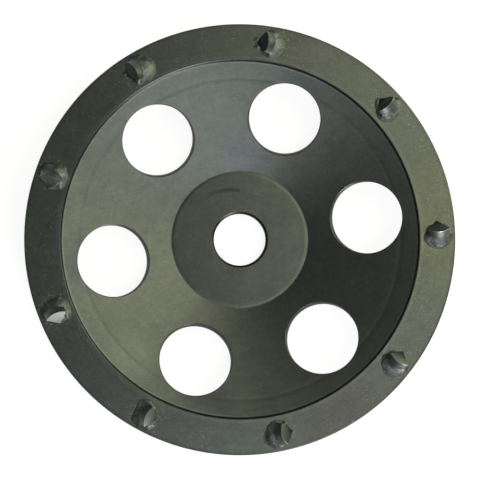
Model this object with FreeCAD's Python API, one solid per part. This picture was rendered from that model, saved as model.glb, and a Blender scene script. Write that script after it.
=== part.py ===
"""Cup wheel for an angle grinder, 180 mm across, with nine brazed quarter-round diamond cutters.

The wheel rests on the back of its hub, with its working face up. The origin is the middle of the
bore on the hub's back face, and Z is the wheel's axis. Cutter 1 stands to the right, on +X, and the
others follow anticlockwise, which is also the way the wheel turns as seen from above.
"""
import FreeCAD, Part
import math
import os

# Cup body, one turned steel plate
wheel_diameter = 180.0
hub_thickness = 6.0
hub_pad_diameter = 56.2
hub_pad_rise = 0.08
hub_edge_width = 1.2
web_thickness = 5.0
web_slope_deg = 15.0
rim_width = 14.8
rim_thickness = 7.0
rim_step = 1.5
rim_step_taper = 0.2
rim_inner_chamfer = 0.7
rim_edge_chamfer = 0.5
cove_width = 0.9
cove_height = 0.4
back_bend_round = 6.0

# Bore for a 7/8 in spindle flange
bore_diameter = 22.23
bore_front_chamfer = 0.9
bore_back_chamfer = 0.5

# Round holes through the web, square to its slope
hole_count = 6
hole_diameter = 30.4
hole_rim_land = 5.9
hole_phase_deg = 9.7

# Quarter-round cutters on the middle of the rim, leaning back against the turning direction
cutter_count = 9
cutter_phase_deg = 5.2
cutter_radius = 6.5
cutter_half_angle_deg = 43.5
cutter_lean_deg = 43.5
cutter_length = 6.5
diamond_thickness = 0.7
diamond_edge_chamfer = 0.2

# Braze: a film in each pocket and a bead round the cutter on the rim's face
braze_film = 0.15
bead_height = 1.5
bead_setback = 0.6
bead_toe = 1.3
bead_shoulder = 0.7
bead_lip = 0.3

outer_radius = wheel_diameter / 2
bore_radius = bore_diameter / 2
web_slope = math.tan(math.radians(web_slope_deg))
web_drop = web_thickness / math.cos(math.radians(web_slope_deg))
hub_pad_radius = hub_pad_diameter / 2
web_foot_radius = hub_pad_radius + hub_edge_width
web_foot_height = hub_thickness - hub_pad_rise
rim_inner_radius = outer_radius - rim_width
step_top_radius = rim_inner_radius - rim_inner_chamfer
step_foot_radius = step_top_radius - rim_step_taper
hole_circle_radius = rim_inner_radius - hole_rim_land - hole_diameter / 2
cutter_circle_radius = outer_radius - rim_width / 2
lean = math.radians(cutter_lean_deg)
half_angle = math.radians(cutter_half_angle_deg)
up = FreeCAD.Vector(0, 0, 1)
origin = FreeCAD.Vector(0, 0, 0)


def web_front(radius):
    """Height of the web's front face at a radius."""
    return web_foot_height + (radius - web_foot_radius) * web_slope


def web_back_radius(height):
    """Radius at which the web's back face has a height."""
    return web_foot_radius + (height + web_drop - web_foot_height) / web_slope


rim_height = web_front(step_foot_radius) + rim_step
rim_back_height = rim_height - rim_thickness


def bent_outline(corners):
    """Closed outline in the plane of radius and height, from corners (radius, height, bend radius)."""
    points = [FreeCAD.Vector(radius, 0, height) for radius, height, bend in corners]
    edges = []
    joints = []
    for index, corner in enumerate(points):
        bend = corners[index][2]
        if not bend:
            joints.append((corner, corner))
            continue
        before = (points[index - 1] - corner).normalize()
        after = (points[(index + 1) % len(points)] - corner).normalize()
        half_turn = before.getAngle(after) / 2
        start = corner + before * (bend / math.tan(half_turn))
        end = corner + after * (bend / math.tan(half_turn))
        middle = corner + (before + after).normalize() * (bend / math.sin(half_turn) - bend)
        edges.append(Part.Arc(start, middle, end).toShape())
        joints.append((start, end))
    for index, (start, end) in enumerate(joints):
        edges.append(Part.makeLine(joints[index - 1][1], start))
    return Part.Wire(Part.sortEdges(edges)[0])


def cup_blank():
    """The turned body before its holes and pockets, one profile about the axis."""
    cove_radius = step_foot_radius - cove_width
    profile = [
        (bore_radius, bore_back_chamfer, 0),
        (bore_radius + bore_back_chamfer, 0, 0),
        (web_back_radius(0), 0, 0),
        (web_back_radius(rim_back_height), rim_back_height, back_bend_round),
        (outer_radius - rim_edge_chamfer, rim_back_height, 0),
        (outer_radius, rim_back_height + rim_edge_chamfer, 0),
        (outer_radius, rim_height - rim_edge_chamfer, 0),
        (outer_radius - rim_edge_chamfer, rim_height, 0),
        (rim_inner_radius, rim_height, 0),
        (step_top_radius, rim_height - rim_inner_chamfer, 0),
        (step_foot_radius, web_front(step_foot_radius) + cove_height, 0),
        (cove_radius, web_front(cove_radius), 0),
        (web_foot_radius, web_foot_height, 0),
        (hub_pad_radius, hub_thickness, 0),
        (bore_radius + bore_front_chamfer, hub_thickness, 0),
        (bore_radius, hub_thickness - bore_front_chamfer, 0),
    ]
    return Part.Face(bent_outline(profile)).revolve(origin, up, 360)


def web_hole():
    """A round punch through the web at +X, square to the web's front face."""
    depth = 3 * web_thickness
    punch = Part.makeCylinder(hole_diameter / 2, 2 * depth, FreeCAD.Vector(0, 0, -depth))
    punch.rotate(origin, FreeCAD.Vector(0, 1, 0), -web_slope_deg)
    punch.translate(FreeCAD.Vector(hole_circle_radius, 0, web_front(hole_circle_radius)))
    return punch


def turned(shape, angle_deg):
    """A copy of a shape, turned about the wheel's axis."""
    copy = shape.copy()
    copy.rotate(origin, up, angle_deg)
    return copy


def quarter_round(low, high, grow=0.0):
    """Quarter-round bar along Z from low to high, its corner on the Z axis and its arc towards +X."""
    along = cutter_radius * math.cos(half_angle)
    across = cutter_radius * math.sin(half_angle)
    corner = FreeCAD.Vector(0, 0, low)
    start = FreeCAD.Vector(along, -across, low)
    middle = FreeCAD.Vector(cutter_radius, 0, low)
    end = FreeCAD.Vector(along, across, low)
    arc = Part.Arc(start, middle, end).toShape()
    section = Part.Face(Part.Wire([Part.makeLine(corner, start), arc, Part.makeLine(end, corner)]))
    if grow:
        section = section.makeOffset2D(grow, 2)
    return section.extrude(up * (high - low))


def block_above(low):
    """A block far wider and taller than a cutter, standing on a height."""
    size = 6 * cutter_radius
    return Part.makeBox(size, size, size, FreeCAD.Vector(-size / 2, -size / 2, low))


def on_rim(shape):
    """Stand a shape on the middle of the rim's face at twelve o'clock."""
    return shape.translated(FreeCAD.Vector(0, cutter_circle_radius, rim_height))


def leaning(shape):
    """Lean a cutter's shape back, with its corner on the rim's face at twelve o'clock."""
    return on_rim(shape.rotated(origin, FreeCAD.Vector(0, 1, 0), -cutter_lean_deg))


def carbide_base():
    """The carbide block behind the diamond table."""
    return leaning(quarter_round(-cutter_length, -diamond_thickness))


def diamond_table():
    """The flat diamond layer, with a narrow land ground along its arc."""
    table = quarter_round(-diamond_thickness, 0)
    arcs = [edge for edge in table.Edges if isinstance(edge.Curve, Part.Circle)]
    cutting_edge = max(arcs, key=lambda edge: edge.CenterOfMass.z)
    return leaning(table.makeChamfer(diamond_edge_chamfer, [cutting_edge]))


def pocket():
    """The space milled in the rim for one cutter and its braze film."""
    return leaning(quarter_round(-cutter_length - braze_film, cutter_length, braze_film))


def braze():
    """The braze of one cutter: the film in its pocket and the bead on the rim's face."""
    half_length = cutter_radius / math.cos(lean) / 2
    base_reach = max(half_length, cutter_radius * math.sin(half_angle))
    toe_radius = base_reach + bead_toe
    top_radius = base_reach - bead_shoulder
    middle = FreeCAD.Vector(half_length + bead_setback, 0, 0)
    hump = Part.makeCone(toe_radius, top_radius, bead_height, middle)
    bead = on_rim(hump).cut(leaning(block_above(bead_lip)))
    film = pocket().cut(on_rim(block_above(0)))
    return bead.fuse(film).cut(leaning(quarter_round(-cutter_length, 3 * cutter_length)))


def export(shape, node):
    """Write one node's solid to its own file."""
    shape.Solids[0].exportStep(os.path.join("parts", node + ".step"))


os.makedirs("parts", exist_ok=True)
hole_angles = [hole_phase_deg + index * 360 / hole_count for index in range(hole_count)]
cutter_turns = [cutter_phase_deg - 90 + index * 360 / cutter_count for index in range(cutter_count)]
cup_body = cup_blank().cut([turned(web_hole(), angle) for angle in hole_angles])
cup_body = cup_body.cut([turned(pocket(), angle) for angle in cutter_turns])
export(cup_body, "cup_body")
cutter_pieces = {"carbide_base": carbide_base(), "diamond_table": diamond_table(), "braze": braze()}
for name, piece in cutter_pieces.items():
    for index, angle in enumerate(cutter_turns):
        export(turned(piece, angle), f"{name}_{index + 1}")
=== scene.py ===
import bmesh
import bpy
import math
from mathutils import Matrix, Vector


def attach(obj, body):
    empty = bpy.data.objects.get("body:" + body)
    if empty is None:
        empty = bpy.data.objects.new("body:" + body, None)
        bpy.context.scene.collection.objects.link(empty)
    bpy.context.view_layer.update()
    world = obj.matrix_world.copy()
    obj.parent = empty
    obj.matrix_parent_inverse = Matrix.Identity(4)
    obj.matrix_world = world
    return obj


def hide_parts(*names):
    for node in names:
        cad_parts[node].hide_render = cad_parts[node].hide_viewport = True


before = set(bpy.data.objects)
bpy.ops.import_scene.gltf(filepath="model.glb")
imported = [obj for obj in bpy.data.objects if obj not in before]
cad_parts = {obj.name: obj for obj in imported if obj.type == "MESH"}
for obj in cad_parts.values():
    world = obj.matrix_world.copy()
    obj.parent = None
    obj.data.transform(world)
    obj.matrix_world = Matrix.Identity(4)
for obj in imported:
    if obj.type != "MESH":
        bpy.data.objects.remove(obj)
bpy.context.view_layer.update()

# Sizes of the wheel, in metres, as in the part's source
mm = 0.001
bore_radius = 11.115 * mm
bore_front_chamfer = 0.9 * mm
bore_back_chamfer = 0.5 * mm
hub_thickness = 6 * mm
hub_pad_radius = 28.1 * mm
web_foot_radius = 29.3 * mm
web_foot_height = 5.92 * mm
web_slope = math.radians(15)
web_thickness = 5 * mm
web_drop = web_thickness / math.cos(web_slope)
step_foot_radius = 74.3 * mm
rim_inner_radius = 75.2 * mm
rim_step = 1.5 * mm
rim_thickness = 7 * mm
rim_edge_chamfer = 0.5 * mm
rim_height = web_foot_height + (step_foot_radius - web_foot_radius) * math.tan(web_slope) + rim_step
rim_back_height = rim_height - rim_thickness
outer_radius = 90 * mm
hole_radius = 15.2 * mm
hole_circle_radius = 54.1 * mm
hole_phase = math.radians(9.7)
hole_count = 6
cutter_circle_radius = 82.6 * mm
cutter_radius = 6.5 * mm
cutter_half_angle = math.radians(43.5)
cutter_lean = math.radians(43.5)
cutter_length = 6.5 * mm
cutter_phase = math.radians(5.2)
cutter_count = 9
diamond_thickness = 0.7 * mm
braze_film = 0.15 * mm

# Points nearer than this are the same point
same_point = 0.001 * mm


# Working by hand

def select_only(piece):
    """Select one piece and make it the active one."""
    bpy.ops.object.select_all(action='DESELECT')
    piece.select_set(True)
    bpy.context.view_layer.objects.active = piece


def open_up(piece):
    """Go into edit mode on a piece with nothing selected."""
    select_only(piece)
    bpy.ops.object.mode_set(mode='EDIT')
    bpy.ops.mesh.select_all(action='DESELECT')


def close_up():
    """Come back out of edit mode."""
    bpy.ops.object.mode_set(mode='OBJECT')


def pick(piece, part, wanted):
    """In edit mode, select the verts, edges or faces that the test wants, and no others."""
    sheet = bmesh.from_edit_mesh(piece.data)
    bpy.ops.mesh.select_all(action='DESELECT')
    for item in getattr(sheet, part):
        if wanted(item):
            item.select_set(True)
    sheet.select_flush_mode()
    bmesh.update_edit_mesh(piece.data)


def new_piece(name):
    """Name the primitive that was just added."""
    piece = bpy.context.object
    piece.name = name
    piece.data.name = name
    return piece


def finish_with(piece, kind, **settings):
    """Add one modifier to a piece and apply it."""
    select_only(piece)
    modifier = piece.modifiers.new(kind.title(), kind)
    for setting, value in settings.items():
        setattr(modifier, setting, value)
    bpy.ops.object.modifier_apply(modifier=modifier.name)


def settle(piece):
    """Put a piece's place into its mesh."""
    select_only(piece)
    bpy.ops.object.transform_apply(location=True, rotation=True, scale=True)


def join(pieces):
    """Join pieces into the first one."""
    select_only(pieces[0])
    for piece in pieces[1:]:
        piece.select_set(True)
    bpy.ops.object.join()
    return pieces[0]


def turned_copy(piece, name, angle):
    """A copy with its own mesh, turned about the wheel's axis."""
    copy = piece.copy()
    copy.data = piece.data.copy()
    copy.name = name
    copy.data.name = name
    bpy.context.collection.objects.link(copy)
    copy.data.transform(Matrix.Rotation(angle, 4, 'Z'))
    return copy


def throw_away(piece):
    """Delete a piece that was only a tool."""
    bpy.data.objects.remove(piece)


# The cup body, turned from one plate

def web_front(radius):
    """Height of the web's front face at a radius."""
    return web_foot_height + (radius - web_foot_radius) * math.tan(web_slope)


def web_back_radius(height):
    """Radius at which the web's back face has a height."""
    return web_foot_radius + (height + web_drop - web_foot_height) / math.tan(web_slope)


def turned_blank():
    """The body before its holes: half its section drawn corner by corner, rounded, then spun."""
    line_radius = 67.5 * mm
    line_half = 1.5 * mm
    line_depth = 0.06 * mm
    line_inside = line_radius - line_half
    line_outside = line_radius + line_half
    step_foot_round = step_foot_radius + 0.28 * mm
    hub_crest = web_foot_radius + 1 * mm

    # Corners of the section, as radius, height and how far the rounding cuts back from the corner
    corners = [
        (bore_radius, bore_back_chamfer, 0.1 * mm),
        (bore_radius + bore_back_chamfer, 0, 0.1 * mm),
        (web_back_radius(0), 0, 0.6 * mm),
        (web_back_radius(rim_back_height), rim_back_height, 0.8 * mm),
        (outer_radius - rim_edge_chamfer, rim_back_height, 0.12 * mm),
        (outer_radius, rim_back_height + rim_edge_chamfer, 0.12 * mm),
        (outer_radius, rim_height - rim_edge_chamfer, 0.12 * mm),
        (outer_radius - rim_edge_chamfer, rim_height, 0.12 * mm),
        (rim_inner_radius, rim_height, 0.08 * mm),
        (rim_inner_radius - 0.4 * mm, rim_height - 0.48 * mm, 0.1 * mm),
        (rim_inner_radius - 0.54 * mm, web_front(step_foot_radius) + 0.45 * mm, 0.08 * mm),
        (step_foot_round, web_front(step_foot_round), 0.32 * mm),
        (line_outside, web_front(line_outside), 0.4 * mm),
        (line_radius, web_front(line_radius) - line_depth, 0.25 * mm),
        (line_inside, web_front(line_inside), 0.4 * mm),
        (hub_crest, web_front(hub_crest), 0.6 * mm),
        (web_foot_radius, web_foot_height - 0.03 * mm, 0.3 * mm),
        (hub_pad_radius, hub_thickness, 0.5 * mm),
        (bore_radius + bore_front_chamfer, hub_thickness, 0.15 * mm),
        (bore_radius, hub_thickness - bore_front_chamfer, 0.15 * mm),
    ]
    bpy.ops.mesh.primitive_plane_add(size=mm)
    blank = new_piece("cup_blank")
    open_up(blank)
    bpy.ops.mesh.select_all(action='SELECT')
    bpy.ops.mesh.merge(type='CENTER')
    here = Vector((corners[0][0], 0, corners[0][1]))
    bpy.ops.transform.translate(value=here)
    for radius, height, rounding in corners[1:]:
        there = Vector((radius, 0, height))
        bpy.ops.mesh.extrude_vertices_move(TRANSFORM_OT_translate={"value": there - here})
        here = there
    ends = [Vector((radius, 0, height)) for radius, height, rounding in (corners[0], corners[-1])]
    pick(blank, "verts", lambda v: min((v.co - end).length for end in ends) < same_point)
    bpy.ops.mesh.edge_face_add()
    bpy.ops.mesh.select_all(action='SELECT')
    bpy.ops.mesh.edge_face_add()
    for radius, height, rounding in corners:
        corner = Vector((radius, 0, height))
        pick(blank, "verts", lambda v: (v.co - corner).length < same_point)
        bpy.ops.mesh.bevel(offset=rounding, offset_type='OFFSET', segments=5, affect='VERTICES')
    bpy.ops.mesh.select_all(action='SELECT')
    bpy.ops.mesh.delete(type='ONLY_FACE')
    bpy.ops.mesh.select_all(action='SELECT')
    bpy.ops.mesh.spin(steps=360, angle=math.tau, center=(0, 0, 0), axis=(0, 0, 1))
    bpy.ops.mesh.select_all(action='SELECT')
    bpy.ops.mesh.remove_doubles(threshold=same_point)
    bpy.ops.mesh.normals_make_consistent(inside=False)
    close_up()
    return blank


def hole_punch():
    """A punch for the web hole at +X, square to the web, its ends flared to break the hole's edges."""
    sides = 128

    # The flare from its end inwards, as how far it widens the hole and rises over the face, in mm
    flare = [(0.85, 3.0), (0.85, 0.5), (0.35, 0.0), (0.18, -0.09), (0.08, -0.2), (0.0, -0.4)]
    rings = [(web_drop, wide, -rise) for wide, rise in flare]
    rings += [(0, wide, rise) for wide, rise in reversed(flare)]
    wide_now = flare[0][0]
    bpy.ops.mesh.primitive_circle_add(vertices=sides, radius=hole_radius + wide_now * mm, fill_type='NGON')
    punch = new_piece("hole_punch")
    open_up(punch)
    bpy.ops.mesh.select_all(action='SELECT')
    for drop, wide, rise in rings[1:]:
        scale = (hole_radius + wide * mm) / (hole_radius + wide_now * mm)
        bpy.ops.mesh.extrude_region_move(TRANSFORM_OT_translate={"value": (0, 0, mm)})
        bpy.ops.transform.resize(value=(scale, scale, 1))
        wide_now = wide
    close_up()
    seat = Vector((hole_circle_radius, 0, web_front(hole_circle_radius)))
    along = Vector((-math.sin(web_slope), 0, math.cos(web_slope)))
    punch.rotation_euler = (0, -web_slope, 0)
    punch.location = seat
    settle(punch)
    for vertex in punch.data.vertices:
        drop, wide, rise = rings[vertex.index // sides]

        # Each nudge along the punch brings the point closer to the curved face
        for nudge in range(6):
            target = web_front(math.hypot(vertex.co.x, vertex.co.y)) - drop
            vertex.co += along * (target - vertex.co.z) * math.cos(web_slope)
        vertex.co += along * rise * mm
    return punch


def quarter_round(name, low, high, grow=0.0):
    """Quarter-round bar along Z, its corner on the Z axis and its arc towards +X."""
    bpy.ops.mesh.primitive_cylinder_add(vertices=240, radius=cutter_radius + grow, depth=high - low,
                                        location=(0, 0, (low + high) / 2))
    bar = new_piece(name)
    settle(bar)
    for side in (-1, 1):
        away = Vector((-math.sin(cutter_half_angle), side * math.cos(cutter_half_angle), 0))
        open_up(bar)
        bpy.ops.mesh.select_all(action='SELECT')
        bpy.ops.mesh.bisect(plane_co=away * grow, plane_no=away, use_fill=True, clear_outer=True)
        close_up()
    return bar


def lean_on_rim(piece):
    """Lean a cutter's shape back, with its corner on the rim's face at twelve o'clock."""
    piece.rotation_euler = (0, -cutter_lean, 0)
    piece.location = (0, cutter_circle_radius, rim_height)
    settle(piece)
    return piece


def cutter_angles():
    """How far each cutter is turned from twelve o'clock."""
    return [cutter_phase - math.pi / 2 + index * math.tau / cutter_count for index in range(cutter_count)]


def cup_body():
    """The turned body with its web holes and the pockets for the cutters."""
    body = turned_blank()
    body.name = body.data.name = "cup_body_steel"
    punch = hole_punch()
    milled = lean_on_rim(quarter_round("pocket", -cutter_length - braze_film, cutter_length, braze_film))
    tools = [turned_copy(punch, "hole", hole_phase + index * math.tau / hole_count)
             for index in range(hole_count)]
    tools += [turned_copy(milled, "pocket", angle) for angle in cutter_angles()]
    throw_away(punch)
    throw_away(milled)
    tool = join(tools)
    finish_with(body, 'BOOLEAN', operation='DIFFERENCE', object=tool, solver='MANIFOLD')
    throw_away(tool)
    select_only(body)
    bpy.ops.object.shade_smooth_by_angle(angle=math.radians(24))
    finish_with(body, 'WEIGHTED_NORMAL', mode='FACE_AREA', weight=100, keep_sharp=True)
    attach(body, "root")
    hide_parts("cup_body")
    return body


# The cutters: a diamond table on a carbide base

def keep_bar_place(piece):
    """Keep each point's place along and across the bar, for the grinding marks of its finish."""
    place = piece.data.attributes.new("bar_place", 'FLOAT_VECTOR', 'POINT')
    for vertex in piece.data.vertices:
        place.data[vertex.index].vector = vertex.co


def on_face_arc(edge):
    """Whether an edge of the table lies on the arc of its face."""
    return all(v.co.z > -same_point and v.co.xy.length > cutter_radius - 0.01 * mm for v in edge.verts)


def on_ground_edge(face):
    """Whether a face of the table is part of its round, ground edge."""
    return face.normal.z < 0.9 and face.calc_center_median().xy.length > cutter_radius - 0.3 * mm


def cutter_pieces():
    """Tables and bases of all nine cutters."""
    table = quarter_round("diamond", -diamond_thickness, 0)
    open_up(table)
    pick(table, "edges", on_face_arc)
    bpy.ops.mesh.bevel(offset=0.2 * mm, segments=2, profile=0.6)
    table.data.materials.append(None)
    table.data.materials.append(None)
    pick(table, "faces", on_ground_edge)
    table.active_material_index = 1
    bpy.ops.object.material_slot_assign()
    close_up()
    base = quarter_round("carbide", -cutter_length, -diamond_thickness)
    base.data.materials.append(None)
    kinds = [(table, 0.05 * mm, "diamond_table", "diamond"), (base, 0.08 * mm, "carbide_base", "carbide")]
    made = []
    for piece, rounding, node, slot in kinds:
        finish_with(piece, 'BEVEL', width=rounding, segments=2, limit_method='ANGLE',
                    angle_limit=math.radians(35))
        keep_bar_place(piece)
        lean_on_rim(piece)
        bpy.ops.object.shade_smooth_by_angle(angle=math.radians(30))
        for index, angle in enumerate(cutter_angles()):
            copy = turned_copy(piece, f"{node}_{index + 1}_{slot}", angle)
            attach(copy, "root")
            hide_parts(f"{node}_{index + 1}")
            made.append(copy)
        throw_away(piece)
    return made


# The braze: a wet fillet round each cutter

# Steps of the fillet behind a cutter, as reach, clockwise shift and height, in mm
fillet_steps = [(2.0, 0.5, 0.1), (1.55, 0.4, 0.2), (1.2, 0.3, 0.34), (0.85, 0.2, 0.52),
                (0.55, 0.1, 0.74), (0.3, 0.0, 1.05), (0.1, 0.0, 1.5)]
front_step = (0.4, 0.0, 0.14)

# Layers of each lump, as wider in mm and share of its height, that let it run out flat on the rim
lump_layers = [(0.0, 1.0), (0.45, 0.6), (0.9, 0.27)]

# How deep each lump reaches into the rim
lump_root = 0.12 * mm

# Domed lumps of each bead, as clockwise, outward, across and high, in mm from the cutter's corner
lumps = {
    1: [(6.4, 0.1, 4.9, 1.6), (6.9, -3.7, 2.2, 0.7)],
    2: [(0.5, -1.3, 1.0, 0.4), (1.3, -2.4, 1.1, 0.4), (5.8, -1.3, 4.2, 1.5)],
    3: [(0.2, 0.9, 1.0, 0.4), (0.7, -1.8, 1.1, 0.4), (6.4, -0.6, 4.7, 1.3)],
    4: [(0.3, 1.2, 1.1, 0.4), (3.4, -4.1, 1.7, 1.1), (7.4, -1.0, 5.2, 1.4)],
    5: [(2.8, -4.0, 1.7, 0.9), (5.6, -1.3, 4.8, 1.8)],
    6: [(2.6, -3.9, 1.7, 1.0), (5.6, -1.3, 4.8, 1.9)],
    7: [(1.4, 2.6, 1.4, 1.1), (2.6, 3.6, 1.5, 1.4), (4.0, 3.9, 1.5, 1.2)],
    8: [(5.8, 1.3, 4.1, 1.7), (7.4, 0.7, 4.3, 1.3), (2.4, -3.7, 1.0, 0.6)],
    9: [(5.6, 1.0, 4.4, 1.4), (7.4, 0.3, 4.4, 1.1)],
}


def cut_off(piece, place, away):
    """Cut a closed piece by a plane, and close it again; what lies on the away side goes."""
    open_up(piece)
    bpy.ops.mesh.select_all(action='SELECT')
    bpy.ops.mesh.bisect(plane_co=place, plane_no=away, use_fill=True, clear_outer=True)
    close_up()


def stepped_fillet():
    """The fillet at twelve o'clock before it melts, stepped up the back and flanks of the cutter."""
    # The oval that rounds off a step: half its length, half its width and its middle, in mm
    oval_length, oval_width, oval_middle = 4.7, 4.35, 4.6
    steps = []
    for reach, shift, height in fillet_steps + [front_step]:
        step = lean_on_rim(quarter_round("fillet", -cutter_length, 0.5 * mm, reach * mm))
        cut_off(step, (0, 0, rim_height + height * mm), (0, 0, 1))
        cut_off(step, (0, 0, rim_height - 0.5 * mm), (0, 0, -1))
        if (reach, shift, height) != front_step:
            cut_off(step, (1.7 * mm, 0, rim_height), (-1, 0, 0.6))
        step.location.x = shift * mm
        settle(step)
        oval = (oval_length + reach, oval_width + reach, 1)
        middle = ((oval_middle + shift) * mm, cutter_circle_radius, rim_height)
        bpy.ops.mesh.primitive_cylinder_add(vertices=96, radius=mm, depth=8 * mm, scale=oval, location=middle)
        round_off = new_piece("round_off")
        settle(round_off)
        finish_with(step, 'BOOLEAN', operation='INTERSECT', object=round_off, solver='MANIFOLD')
        throw_away(round_off)
        steps.append(step)
    return join(steps)


def domed_lump(clockwise, outward, across, high):
    """A lump at twelve o'clock, the cap of a ball that stands on the rim's face."""
    curve = (across * across + high * high) / (2 * high)
    middle = (clockwise * mm, cutter_circle_radius + outward * mm, rim_height + (high - curve) * mm)
    bpy.ops.mesh.primitive_uv_sphere_add(segments=64, ring_count=96, radius=curve * mm, location=middle)
    lump = new_piece("lump")
    settle(lump)
    cut_off(lump, (0, 0, rim_height - lump_root), (0, 0, -1))
    return lump


def unevenness(name, size, depth):
    """A cloud pattern of a size that moves the skin of the braze."""
    clouds = bpy.data.textures.new(name, 'CLOUDS')
    clouds.noise_scale = size
    clouds.noise_depth = depth
    return clouds


def braze_beads():
    """The nine beads, melted together, rippled and cut free of their cutters."""
    slump = unevenness("braze_slump", 4.5 * mm, 1)
    ripple = unevenness("braze_ripple", 1.2 * mm, 2)
    clear = lean_on_rim(quarter_round("clear", -cutter_length, 3 * cutter_length, 0.01 * mm))
    fillet = stepped_fillet()
    made = []
    for index, angle in enumerate(cutter_angles()):
        number = index + 1
        parts = [turned_copy(fillet, f"braze_{number}_bead", 0)]
        for clockwise, outward, across, high in lumps[number]:
            for wider, share in lump_layers:
                parts.append(domed_lump(clockwise, outward, across + wider, high * share))
        bead = join(parts)
        bead.data.transform(Matrix.Rotation(angle, 4, 'Z'))
        finish_with(bead, 'REMESH', mode='VOXEL', voxel_size=0.15 * mm)
        finish_with(bead, 'SMOOTH', factor=0.6, iterations=24)
        for clouds, strength in ((slump, 0.34 * mm), (ripple, 0.13 * mm)):
            finish_with(bead, 'DISPLACE', texture=clouds, texture_coords='GLOBAL', strength=strength,
                        mid_level=0.5)
        finish_with(bead, 'SMOOTH', factor=0.5, iterations=2)
        tool = turned_copy(clear, "clear_of_cutter", angle)
        finish_with(bead, 'BOOLEAN', operation='DIFFERENCE', object=tool, solver='MANIFOLD')
        throw_away(tool)
        select_only(bead)
        bpy.ops.object.shade_smooth_by_angle(angle=math.radians(40))
        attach(bead, "root")
        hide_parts(f"braze_{number}")
        made.append(bead)
    throw_away(clear)
    throw_away(fillet)
    return made


body = cup_body()
cutters = cutter_pieces()
beads = braze_beads()


# Finishes

def new_node(tree, kind, feeds=None, **settings):
    """Add a node with its settings, its inputs fed from other nodes or set to plain values."""
    node = tree.nodes.new(kind)
    for setting, value in settings.items():
        setattr(node, setting, value)
    for name, value in (feeds or {}).items():
        if isinstance(value, bpy.types.NodeSocket):
            tree.links.new(value, node.inputs[name])
        else:
            node.inputs[name].default_value = value
    return node


def calc(tree, operation, *values):
    """The result of one step of arithmetic between node outputs and plain numbers."""
    feeds = dict(enumerate(values))
    return new_node(tree, "ShaderNodeMath", feeds, operation=operation).outputs[0]


def vector_calc(tree, operation, *values):
    """The outputs of one step of arithmetic between vectors."""
    feeds = dict(enumerate(values))
    return new_node(tree, "ShaderNodeVectorMath", feeds, operation=operation).outputs


def fade(tree, value, start, end, low=0.0, high=1.0):
    """A soft change from low to high while a value goes from start to end."""
    feeds = {"Value": value, "From Min": start, "From Max": end, "To Min": low, "To Max": high}
    return new_node(tree, "ShaderNodeMapRange", feeds, interpolation_type='SMOOTHSTEP').outputs["Result"]


def ring(tree, radius, start, end, edge, strength):
    """One plus a strength between two radii, with soft edges, all in mm, and one elsewhere."""
    inside = calc(tree, 'MULTIPLY', fade(tree, radius, (start - edge) * mm, (start + edge) * mm),
                  fade(tree, radius, (end - edge) * mm, (end + edge) * mm, 1, 0))
    return calc(tree, 'MULTIPLY_ADD', inside, strength, 1)


def noise(tree, place, size, detail=2.0, rough=0.5):
    """Soft noise whose grains are about one size across, in mm."""
    feeds = {"Vector": place, "Scale": 1 / (size * mm), "Detail": detail, "Roughness": rough}
    return new_node(tree, "ShaderNodeTexNoise", feeds).outputs["Fac"]


def stretch(tree, place, turn, scale):
    """The same coordinates turned about Z, in degrees, and scaled along each axis."""
    feeds = {"Vector": place, "Rotation": (0, 0, math.radians(turn)), "Scale": scale}
    return new_node(tree, "ShaderNodeMapping", feeds).outputs["Vector"]


def around(tree, value, strength):
    """A noise value turned into a factor around one."""
    return calc(tree, 'MULTIPLY_ADD', calc(tree, 'SUBTRACT', value, 0.5), strength, 1)


def product(tree, *values):
    """All values multiplied."""
    result = values[0]
    for value in values[1:]:
        result = calc(tree, 'MULTIPLY', result, value)
    return result


def shade(tree, colour, factor):
    """A colour made lighter or darker by a factor."""
    feeds = {0: colour, "Scale": factor}
    return new_node(tree, "ShaderNodeVectorMath", feeds, operation='SCALE').outputs[0]


def blend(tree, factor, first, second):
    """A mix of two colours."""
    return new_node(tree, "ShaderNodeMix", {0: factor, 6: first, 7: second}, data_type='RGBA').outputs[2]


def bump(tree, height, distance, normal=None):
    """A surface raised by a height, over a distance in mm."""
    feeds = {"Height": height, "Distance": distance * mm, "Strength": 1.0}
    if normal:
        feeds["Normal"] = normal
    return new_node(tree, "ShaderNodeBump", feeds).outputs["Normal"]


def metal(name, attribute=None):
    """A new metal, with its node tree, its shader and the coordinates that its pattern reads."""
    material = bpy.data.materials.new(name)
    material.use_nodes = True
    tree = material.node_tree
    shader = tree.nodes["Principled BSDF"]
    shader.inputs["Metallic"].default_value = 1.0
    if attribute:
        place = new_node(tree, "ShaderNodeAttribute", attribute_name=attribute).outputs["Vector"]
    else:
        place = tree.nodes.new("ShaderNodeTexCoord").outputs["Object"]
    return material, tree, shader, place


def finish_metal(tree, shader, colour, roughness, normal):
    """Feed a metal's colour, roughness and surface."""
    tree.links.new(colour, shader.inputs["Base Color"])
    tree.links.new(roughness, shader.inputs["Roughness"])
    tree.links.new(normal, shader.inputs["Normal"])


def scratches(tree, place, turn, wide, mask_size, high):
    """Fine broken lines that run one way, as one on a line and nothing beside it."""
    along = stretch(tree, place, turn, (0.03, 1, 1))
    off_line = calc(tree, 'ABSOLUTE', calc(tree, 'SUBTRACT', noise(tree, along, 1.4, 1), 0.5))
    broken = fade(tree, noise(tree, place, mask_size, 1), high, high + 0.06)
    return calc(tree, 'MULTIPLY', fade(tree, off_line, 0, wide, 1, 0), broken)


# Rings of painted light and tone on the steel, as radius from and to, soft edge, all in mm, and how much
# lighter
# Painted light on the step's wall, a painted highlight on the rim just outside it, painted shade in the
# turned groove and on the bore, and darker towards the outer edge
tone_and_painted_light_rings = [(73.8, 75.1, 0.1, 0.2), (74.5, 75.1, 0.1, 0.45), (66.8, 68.0, 0.35, -0.09),
               (75.5, 76.6, 0.35, 0.16), (88.6, 95, 0.35, -0.12), (10, 12, 0.1, -0.35)]
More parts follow.
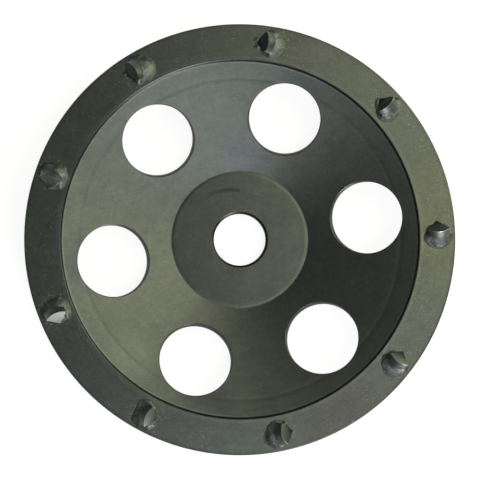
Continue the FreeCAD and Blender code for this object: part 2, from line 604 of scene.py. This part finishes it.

# Tinted patches on the web and the rim, partly heat stains and partly painted light: the lighter web patch at
# 228 degrees is a painted highlight and the lighter, yellower rim patch on the right is painted key light; as
# azimuth in degrees, radius and reach in mm, and tint
web_stains_and_painted_light = [(85, 36, 18, (1.0, 1.0, 1.1)), (70, 68, 17, (0.82, 0.82, 0.89)),
              (188, 68, 17, (0.8, 0.8, 0.93)), (228, 68, 14, (1.22, 1.22, 1.24)),
              (258, 68, 15, (0.78, 0.78, 0.9))]
rim_stains_and_painted_light = [(3, 83, 45, (1.07, 1.06, 0.9)), (300, 83, 34, (0.94, 0.88, 0.86))]


def stain_and_painted_light_tint(tree, flat, ragged, within, azimuth, radius, reach, tint):
    """The tint of one patch of stain and painted light, which is white, and so changes nothing, away from the
    patch.
    """
    turn = math.radians(azimuth)
    middle = (radius * mm * math.cos(turn), radius * mm * math.sin(turn), 0)
    away = vector_calc(tree, 'DISTANCE', flat, middle)["Value"]
    away = calc(tree, 'MULTIPLY_ADD', ragged, 12 * mm, away)
    inside = calc(tree, 'MULTIPLY', fade(tree, away, 3 * mm, reach * mm, 1, 0), within)
    return blend(tree, inside, (1, 1, 1, 1), (*tint, 1))


def stained_and_painted_light(tree, colour, flat, radius, mottle):
    """A colour with the stains and painted light of the web and the rim laid over it."""
    ragged = calc(tree, 'SUBTRACT', mottle, 0.5)
    on_web = calc(tree, 'MULTIPLY', fade(tree, radius, 28.5 * mm, 30 * mm),
                  fade(tree, radius, 73.4 * mm, 74.2 * mm, 1, 0))
    on_rim = fade(tree, radius, 75 * mm, 75.6 * mm)
    for within, stain_and_painted_light_patches in ((on_web, web_stains_and_painted_light), (on_rim, rim_stains_and_painted_light)):
        for stain in stain_and_painted_light_patches:
            tint = stain_and_painted_light_tint(tree, flat, ragged, within, *stain)
            colour = vector_calc(tree, 'MULTIPLY', colour, tint)["Vector"]
    return colour


def along_turning(tree, flat, radius):
    """Coordinates in which a noise runs in rings about the axis, and slowly changes along them."""
    spoke = shade(tree, vector_calc(tree, 'NORMALIZE', flat)["Vector"], 2.5 * mm)
    outward = new_node(tree, "ShaderNodeCombineXYZ", {"Z": radius}).outputs[0]
    return vector_calc(tree, 'ADD', spoke, outward)["Vector"]


def steel_specks(tree, place, radius):
    """Bright specks in clusters, fainter on the web than on the rim."""
    specks = fade(tree, noise(tree, place, 0.6, 1, 0.5), 0.64, 0.72)
    clusters = fade(tree, noise(tree, place, 8, 2, 0.5), 0.45, 0.65, 0.2, 1)
    return product(tree, specks, clusters, fade(tree, radius, 74 * mm, 76 * mm, 0.4, 1))


def brazing_stain(tree, place, angle, radius):
    """Where brazing has stained the steel: round the hump of each cutter, with a ragged edge."""
    spacing = math.tau / cutter_count
    hump = cutter_phase - math.radians(4.2)
    turns = calc(tree, 'DIVIDE', calc(tree, 'SUBTRACT', angle, hump), spacing)
    aside = calc(tree, 'SUBTRACT', turns, calc(tree, 'ROUND', turns))
    across = calc(tree, 'MULTIPLY', aside, spacing * cutter_circle_radius)
    outward = calc(tree, 'SUBTRACT', radius, cutter_circle_radius)
    squares = calc(tree, 'ADD', product(tree, across, across), product(tree, outward, outward))
    away = calc(tree, 'SQRT', squares)
    away = calc(tree, 'MULTIPLY_ADD', noise(tree, place, 5.0, 3, 0.6), 9 * mm, away)
    return fade(tree, away, 9.5 * mm, 13.5 * mm, 1, 0)


def hub_smear(tree, angle, radius):
    """A dark smear on the hub that winds outwards from twelve o'clock."""
    wound = calc(tree, 'SUBTRACT', angle, math.radians(90))
    winding = calc(tree, 'MULTIPLY_ADD', wound, 3.6 * mm, 21 * mm)
    off_smear = calc(tree, 'ABSOLUTE', calc(tree, 'SUBTRACT', radius, winding))
    return product(tree, fade(tree, off_smear, 0.3 * mm, 1.3 * mm, 0.36, 0),
                   fade(tree, wound, -0.02, 0.03), fade(tree, wound, 0.2, 1.0, 1, 0))


def blackened_steel():
    """Turned steel, blackened, with turning marks, mottling, specks, scratches and stains, and with rings and
    patches of painted light and shade.
    """
    material, tree, shader, place = metal("blackened_steel")
    split = new_node(tree, "ShaderNodeSeparateXYZ", {"Vector": place}).outputs
    angle = calc(tree, 'ARCTAN2', split["Y"], split["X"])
    flat = new_node(tree, "ShaderNodeCombineXYZ", {"X": split["X"], "Y": split["Y"]}).outputs[0]
    radius = vector_calc(tree, 'LENGTH', flat)["Value"]
    turned = along_turning(tree, flat, radius)
    marks = noise(tree, turned, 0.7, 3, 0.6)
    wide_marks = noise(tree, turned, 3.0, 2, 0.5)
    grain = noise(tree, place, 0.55, 2, 0.6)
    mottle = noise(tree, place, 7.0, 4, 0.6)
    cloud = noise(tree, place, 2.2, 2, 0.5)
    patches = noise(tree, place, 28.0, 2, 0.5)
    specks = steel_specks(tree, place, radius)
    stain = brazing_stain(tree, place, angle, radius)
    spatter = calc(tree, 'MULTIPLY', stain, fade(tree, noise(tree, place, 0.9, 2, 0.6), 0.6, 0.68))
    lines = calc(tree, 'ADD', scratches(tree, place, 25, 0.006, 9, 0.56),
                 scratches(tree, place, 118, 0.005, 12, 0.58))
    # Lightness of the steel, with the rings of painted light and shade among its factors
    light = product(tree, around(tree, marks, 0.18), around(tree, wide_marks, 0.12),
                    around(tree, grain, 0.45), around(tree, mottle, 0.34), around(tree, cloud, 0.3),
                    around(tree, patches, 0.12), calc(tree, 'SUBTRACT', 1, hub_smear(tree, angle, radius)),
                    *(ring(tree, radius, *one) for one in tone_and_painted_light_rings))
    for marking, strength in ((specks, 1.1), (lines, 0.3), (spatter, 0.9)):
        light = calc(tree, 'ADD', light, calc(tree, 'MULTIPLY', marking, strength))
    tint = blend(tree, calc(tree, 'MULTIPLY', stain, fade(tree, mottle, 0.4, 0.6)),
                 (0.100, 0.101, 0.100, 1), (0.112, 0.113, 0.098, 1))
    # Stains and painted light laid over the steel's colour
    colour = stained_and_painted_light(tree, shade(tree, tint, light), flat, radius, mottle)
    shader.inputs["Specular Tint"].default_value = (0.4, 0.4, 0.4, 1)
    roughness = calc(tree, 'ADD', calc(tree, 'MULTIPLY', around(tree, grain, 0.10), 0.365),
                     calc(tree, 'MULTIPLY', calc(tree, 'ADD', specks, spatter), 0.12))
    surface = bump(tree, marks, 0.01)
    surface = bump(tree, grain, 0.02, surface)
    surface = bump(tree, spatter, 0.05, surface)
    finish_metal(tree, shader, colour, roughness, surface)
    return material


def ground_carbide():
    """Carbide, ground round and along, with a few darker smears."""
    material, tree, shader, place = metal("ground_carbide", "bar_place")
    rings = noise(tree, stretch(tree, place, 0, (0.15, 0.15, 1)), 0.35, 2, 0.6)
    smear = noise(tree, place, 2.2, 3, 0.6)
    light = product(tree, around(tree, rings, 0.5), around(tree, smear, 0.7))
    finish_metal(tree, shader, shade(tree, (0.145, 0.147, 0.143), light),
                 calc(tree, 'MULTIPLY', around(tree, smear, 0.3), 0.48), bump(tree, rings, 0.02))
    return material


def diamond_face_painted_light(number, light, mottling, roughness):
    """The face of one diamond table: dark and matt, more or less smeared with flux and braze, its lightness
    set per cutter as painted light.
    """
    material, tree, shader, place = metal(f"diamond_face_{number}", "bar_place")
    lap = noise(tree, stretch(tree, place, 20 * number, (0.2, 1, 1)), 0.4, 2, 0.6)
    smear = noise(tree, stretch(tree, place, 50 * number, (1, 0.6, 1)), 0.9 + 0.05 * number, 4, 0.65)
    factor = product(tree, around(tree, lap, 0.25), around(tree, smear, mottling))
    # Painted light: the face's lightness is set per cutter
    finish_metal(tree, shader, shade(tree, (light, light * 1.02, light * 0.95), factor),
                 calc(tree, 'MULTIPLY', around(tree, smear, 0.2), roughness),
                 bump(tree, smear, 0.05 * mottling))
    return material


def edge_painted_highlight(number, light):
    """The round, ground edge of one diamond table, with a highlight painted next to the face, stronger on
    some cutters than on others.
    """
    material, tree, shader, place = metal(f"ground_arc_{number}", "bar_place")
    depth = new_node(tree, "ShaderNodeSeparateXYZ", {"Vector": place}).outputs["Z"]
    nicks = noise(tree, stretch(tree, place, 40 * number, (1, 1, 1)), 0.6, 2, 0.6)
    # Painted highlight on the band of the edge next to the face
    tint = blend(tree, fade(tree, depth, -0.5 * mm, -0.3 * mm), (0.142, 0.144, 0.14, 1),
                 (light, light * 1.01, light * 0.98, 1))
    finish_metal(tree, shader, shade(tree, tint, around(tree, nicks, 1.0)),
                 calc(tree, 'MULTIPLY', around(tree, nicks, 0.4), 0.38), bump(tree, nicks, 0.03))
    return material


def silver_braze():
    """Braze, silvery where it stands high, and blackened like the steel where it runs out thin."""
    material, tree, shader, place = metal("silver_braze")
    split = new_node(tree, "ShaderNodeSeparateXYZ", {"Vector": place}).outputs
    wrinkles = noise(tree, place, 0.8, 4, 0.65)
    blotch = noise(tree, place, 2.6, 3, 0.6)
    grain = noise(tree, place, 0.4, 1, 0.5)
    high = calc(tree, 'SUBTRACT', split["Z"], rim_height)
    high = calc(tree, 'MULTIPLY_ADD', calc(tree, 'SUBTRACT', blotch, 0.5), 1.6 * mm, high)
    clean = fade(tree, high, 0.15 * mm, 0.8 * mm)
    tint = blend(tree, clean, (0.103, 0.105, 0.101, 1), (0.165, 0.167, 0.172, 1))
    light = product(tree, around(tree, wrinkles, 1.1), around(tree, grain, 0.6))
    finish_metal(tree, shader, shade(tree, tint, light),
                 calc(tree, 'MULTIPLY', around(tree, wrinkles, 0.4), 0.45), bump(tree, wrinkles, 0.13))
    return material


def dress(pieces, *materials):
    """Give pieces their finishes."""
    for piece in pieces:
        while len(piece.data.materials) < len(materials):
            piece.data.materials.append(None)
        for index, material in enumerate(materials):
            piece.data.materials[index] = material


# How light each diamond face is, which paints the light that it catches, how strongly it is smeared, how
# rough it is, and how light its arc is, which paints the highlight on its edge
table_finishes_and_painted_light = {
    1: (0.13, 0.5, 0.42, 0.42),
    2: (0.09, 0.5, 0.42, 0.26),
    3: (0.07, 0.4, 0.42, 0.13),
    4: (0.12, 0.8, 0.42, 0.13),
    5: (0.21, 1.3, 0.42, 0.14),
    6: (0.31, 0.1, 0.6, 0.1),
    7: (0.21, 1.1, 0.42, 0.55),
    8: (0.11, 0.4, 0.42, 0.5),
    9: (0.12, 0.5, 0.42, 0.4),
}
dress([body], blackened_steel())
dress([piece for piece in cutters if "carbide" in piece.name], ground_carbide())
# Each face and each arc gets its own painted light
for number, (light, mottling, roughness, painted_arc_highlight) in table_finishes_and_painted_light.items():
    table = [piece for piece in cutters if piece.name.startswith(f"diamond_table_{number}")]
    dress(table, diamond_face_painted_light(number, light, mottling, roughness), edge_painted_highlight(number, painted_arc_highlight))
dress(beads, silver_braze())


# The studio

def pale_floor():
    """A white sheet that the camera, and metal, see as white, with a soft shadow of the wheel on it."""
    bpy.ops.mesh.primitive_plane_add(size=8)
    sheet = new_piece("studio_floor")
    material = bpy.data.materials.new("white_sheet")
    material.use_nodes = True
    tree = material.node_tree
    tree.nodes.clear()
    ray = new_node(tree, "ShaderNodeLightPath").outputs
    seen = calc(tree, 'MAXIMUM', ray["Is Camera Ray"], ray["Is Glossy Ray"])
    seen = calc(tree, 'MAXIMUM', seen, ray["Is Transmission Ray"])
    paper = new_node(tree, "ShaderNodeBsdfDiffuse", {"Color": (0.85, 0.85, 0.85, 1)}).outputs[0]
    faint = new_node(tree, "ShaderNodeBsdfDiffuse", {"Color": (0.22, 0.22, 0.22, 1)}).outputs[0]
    glow = new_node(tree, "ShaderNodeEmission", {"Strength": 0.9}).outputs[0]
    white = new_node(tree, "ShaderNodeAddShader", {0: faint, 1: glow}).outputs[0]
    mixed = new_node(tree, "ShaderNodeMixShader", {0: seen, 1: paper, 2: white}).outputs[0]
    new_node(tree, "ShaderNodeOutputMaterial", {"Surface": mixed})
    dress([sheet], material)


def lamp(name, azimuth, zenith, distance, size, watts, colour):
    """An area lamp aimed at the wheel from an azimuth and an angle from the vertical, in degrees."""
    turn, fall = math.radians(azimuth), math.radians(zenith)
    out = Vector((math.cos(turn) * math.sin(fall), math.sin(turn) * math.sin(fall), math.cos(fall)))
    light = bpy.data.lights.new(name, 'AREA')
    light.shape = 'RECTANGLE'
    light.size, light.size_y = size
    light.energy = watts
    light.color = colour
    holder = bpy.data.objects.new(name, light)
    bpy.context.collection.objects.link(holder)
    holder.location = out * distance
    holder.rotation_euler = out.to_track_quat('Z', 'Y').to_euler()
    return light


def camera():
    """The camera of the photograph: almost straight above the wheel, half a metre away."""
    distance = 0.526
    to_the_right, upwards = math.radians(1.32), math.radians(-1.57)
    turn = Matrix.Rotation(to_the_right, 3, 'Y') @ Matrix.Rotation(upwards, 3, 'X')
    right, up, back = turn
    aim = Vector((0, 0, rim_height)) - right * 0.23 * mm - up * 0.56 * mm
    lens = bpy.data.cameras.new("camera")
    lens.lens = 94.64
    lens.sensor_width = 36
    holder = bpy.data.objects.new("camera", lens)
    bpy.context.collection.objects.link(holder)
    facing = Matrix((right, up, back)).transposed().to_4x4()
    holder.matrix_world = Matrix.Translation(aim + back * distance) @ facing
    bpy.context.scene.camera = holder


def room_light():
    """The faint light that comes from all sides."""
    world = bpy.data.worlds.new("studio")
    world.use_nodes = True
    world.node_tree.nodes["Background"].inputs["Color"].default_value = (0.117, 0.133, 0.125, 1)
    bpy.context.scene.world = world


pale_floor()
lamp("key_window", 25.8, 46, 0.95, (0.67, 1.4), 7.1, (0.95, 1.0, 0.68))
lamp("cool_overhead", -71.8, 22.1, 1.6, (0.97, 0.3), 4.7, (0.88, 1.0, 0.93))
lamp("low_glint", -64.2, 72.7, 1.55, (0.5, 0.4), 13, (0.97, 0.97, 1.0))
room_light()
camera()
bpy.context.scene.view_settings.view_transform = 'Standard'
